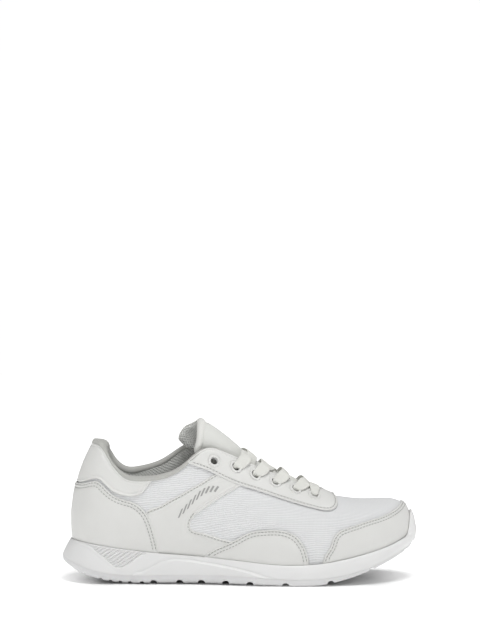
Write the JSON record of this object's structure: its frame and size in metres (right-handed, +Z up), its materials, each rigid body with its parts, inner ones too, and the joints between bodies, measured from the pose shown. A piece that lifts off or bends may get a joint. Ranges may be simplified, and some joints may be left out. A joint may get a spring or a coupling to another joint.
{
  "type": "running shoe",
  "caption": "Low-cut padded running shoe for the right foot, with mesh upper, leather-look overlays, flat lace, curved tongue and a thick rocker sole.",
  "frame": {"origin": "centre of the shoe's outline on the ground", "axes": "+X to the toe, +Y to the inner (big-toe) side, +Z up"},
  "size_m": [0.2982, 0.1056, 0.1358],
  "materials": {
    "outsole_rubber": "matt moulded",
    "midsole_foam": "smooth foam skin",
    "board": "stitched board",
    "sockliner_cloth": "brushed cloth",
    "ribbed_mesh": "ribbed mesh",
    "overlay_leather": "fine grain",
    "binding_cloth": "woven tape",
    "stiffener": "pressed sheet",
    "padding": "open foam",
    "lining_cloth": "ribbed textile",
    "tongue_cloth": "smooth textile",
    "lace_cord": "flat woven",
    "aglet_plastic": "clear white"
  },
  "bodies": {
    "shoe": {"outsole": "outsole_rubber", "midsole": "midsole_foam", "strobel_board": "board", "vamp_mesh": "ribbed_mesh", "quarter_mesh_lateral": "ribbed_mesh", "quarter_mesh_medial": "ribbed_mesh", "toe_cap": "overlay_leather", "forefoot_overlay_lateral": "overlay_leather", "forefoot_overlay_medial": "overlay_leather", "saddle_lateral": "overlay_leather", "saddle_medial": "overlay_leather", "heel_overlay": "overlay_leather", "collar_panel": "overlay_leather", "eyestay": "overlay_leather", "collar_binding": "binding_cloth", "heel_counter": "stiffener", "toe_puff": "stiffener", "collar_foam": "padding", "collar_lining": "lining_cloth", "vamp_lining": "lining_cloth", "tongue_face": "tongue_cloth", "tongue_foam": "padding", "tongue_lining": "lining_cloth", "lace": "lace_cord", "aglet_lateral": "aglet_plastic", "aglet_medial": "aglet_plastic"},
    "tongue_flap": {"tongue_flap_face": "tongue_cloth", "tongue_flap_foam": "padding", "tongue_flap_lining": "lining_cloth", "tongue_flap_binding": "binding_cloth"},
    "sockliner": {"sockliner": "sockliner_cloth"}
  },
  "joints": [
    {"name": "tongue_flap_fold", "type": "hinge", "parent": "shoe", "child": "tongue_flap", "pos_m": [-0.0095, 0, 0.1177], "axis": [0, 1, 0], "range_deg": [0, 45]},
    {"name": "sockliner_lift", "type": "hinge", "parent": "shoe", "child": "sockliner", "pos_m": [0.1351, 0.00625, 0.0299], "axis": [0, 1, 0], "range_deg": [0, 4]}
  ]
}
